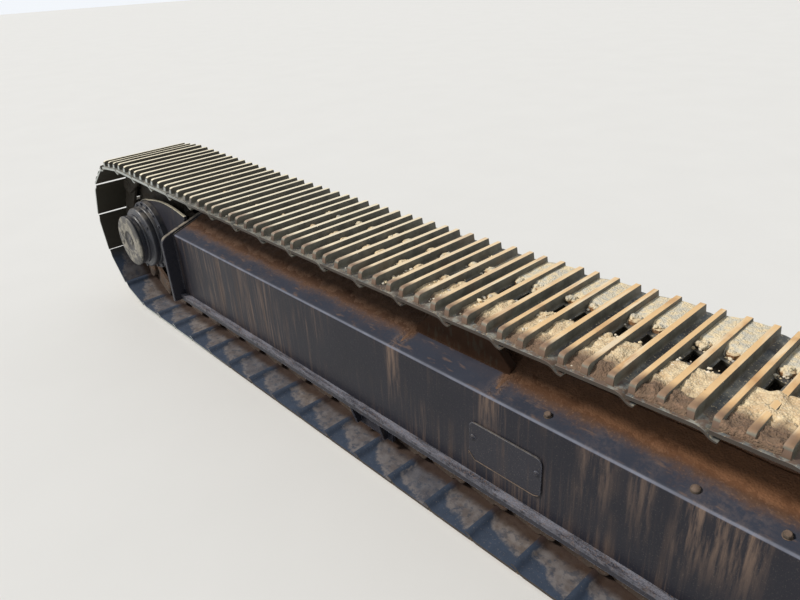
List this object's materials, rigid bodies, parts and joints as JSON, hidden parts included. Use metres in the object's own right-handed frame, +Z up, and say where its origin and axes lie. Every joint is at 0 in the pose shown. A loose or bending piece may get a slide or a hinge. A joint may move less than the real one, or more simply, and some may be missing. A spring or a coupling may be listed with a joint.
{
  "type": "crawler track unit of a mobile crushing plant",
  "caption": "Complete crawler track side: triple-grouser shoes on a link chain round a sprocket and an idler, on a box frame with rollers, drive and chassis brackets.",
  "frame": {"origin": "on the ground, midway between the sprocket's axis and the idler's, in the middle of the overall width", "axes": "+X along the track from the drive sprocket towards the idler, +Y across it towards the chassis, +Z up"},
  "size_m": [4.2355, 0.51, 0.7909],
  "materials": {
    "shoe_steel": "worn bare steel with rust in the valleys and bright bar tops",
    "link_steel": "dark steel with brown dirt",
    "rail_steel": "wear-polished steel",
    "cast_steel": "rough dark casting",
    "drive_paint": "dark satin paint, dusty",
    "cover_paint": "dusty grey paint",
    "frame_paint": "dark charcoal satin paint with dust streaks and rusty soil"
  },
  "bodies": {
    "root": {"track_shoes": "shoe_steel", "track_links_outer": "link_steel", "track_links_inner": "link_steel", "track_bushings": "link_steel", "sprocket": "cast_steel", "final_drive_housing": "drive_paint", "final_drive_cover": "cover_paint", "travel_motor": "drive_paint", "frame_box": "frame_paint", "sole_plate_outer": "frame_paint", "sole_plate_inner": "frame_paint", "end_plate": "frame_paint", "front_plate": "frame_paint", "cheek_outer": "frame_paint", "cheek_inner": "frame_paint", "idler": "cast_steel", "idler_axle": "cast_steel", "idler_slide_outer": "frame_paint", "idler_slide_inner": "frame_paint", "idler_block_outer": "cast_steel", "idler_block_inner": "cast_steel", "idler_yoke": "frame_paint", "bottom_rollers": "cast_steel", "roller_collars_outer": "cast_steel", "roller_collars_inner": "cast_steel", "top_rails_idler_end": "rail_steel", "chain_guide_outer": "frame_paint", "chain_guide_inner": "frame_paint", "access_cover": "frame_paint", "chassis_bracket_drive_end": "frame_paint", "chassis_bracket_idler_end": "frame_paint"}
  },
  "joints": []
}
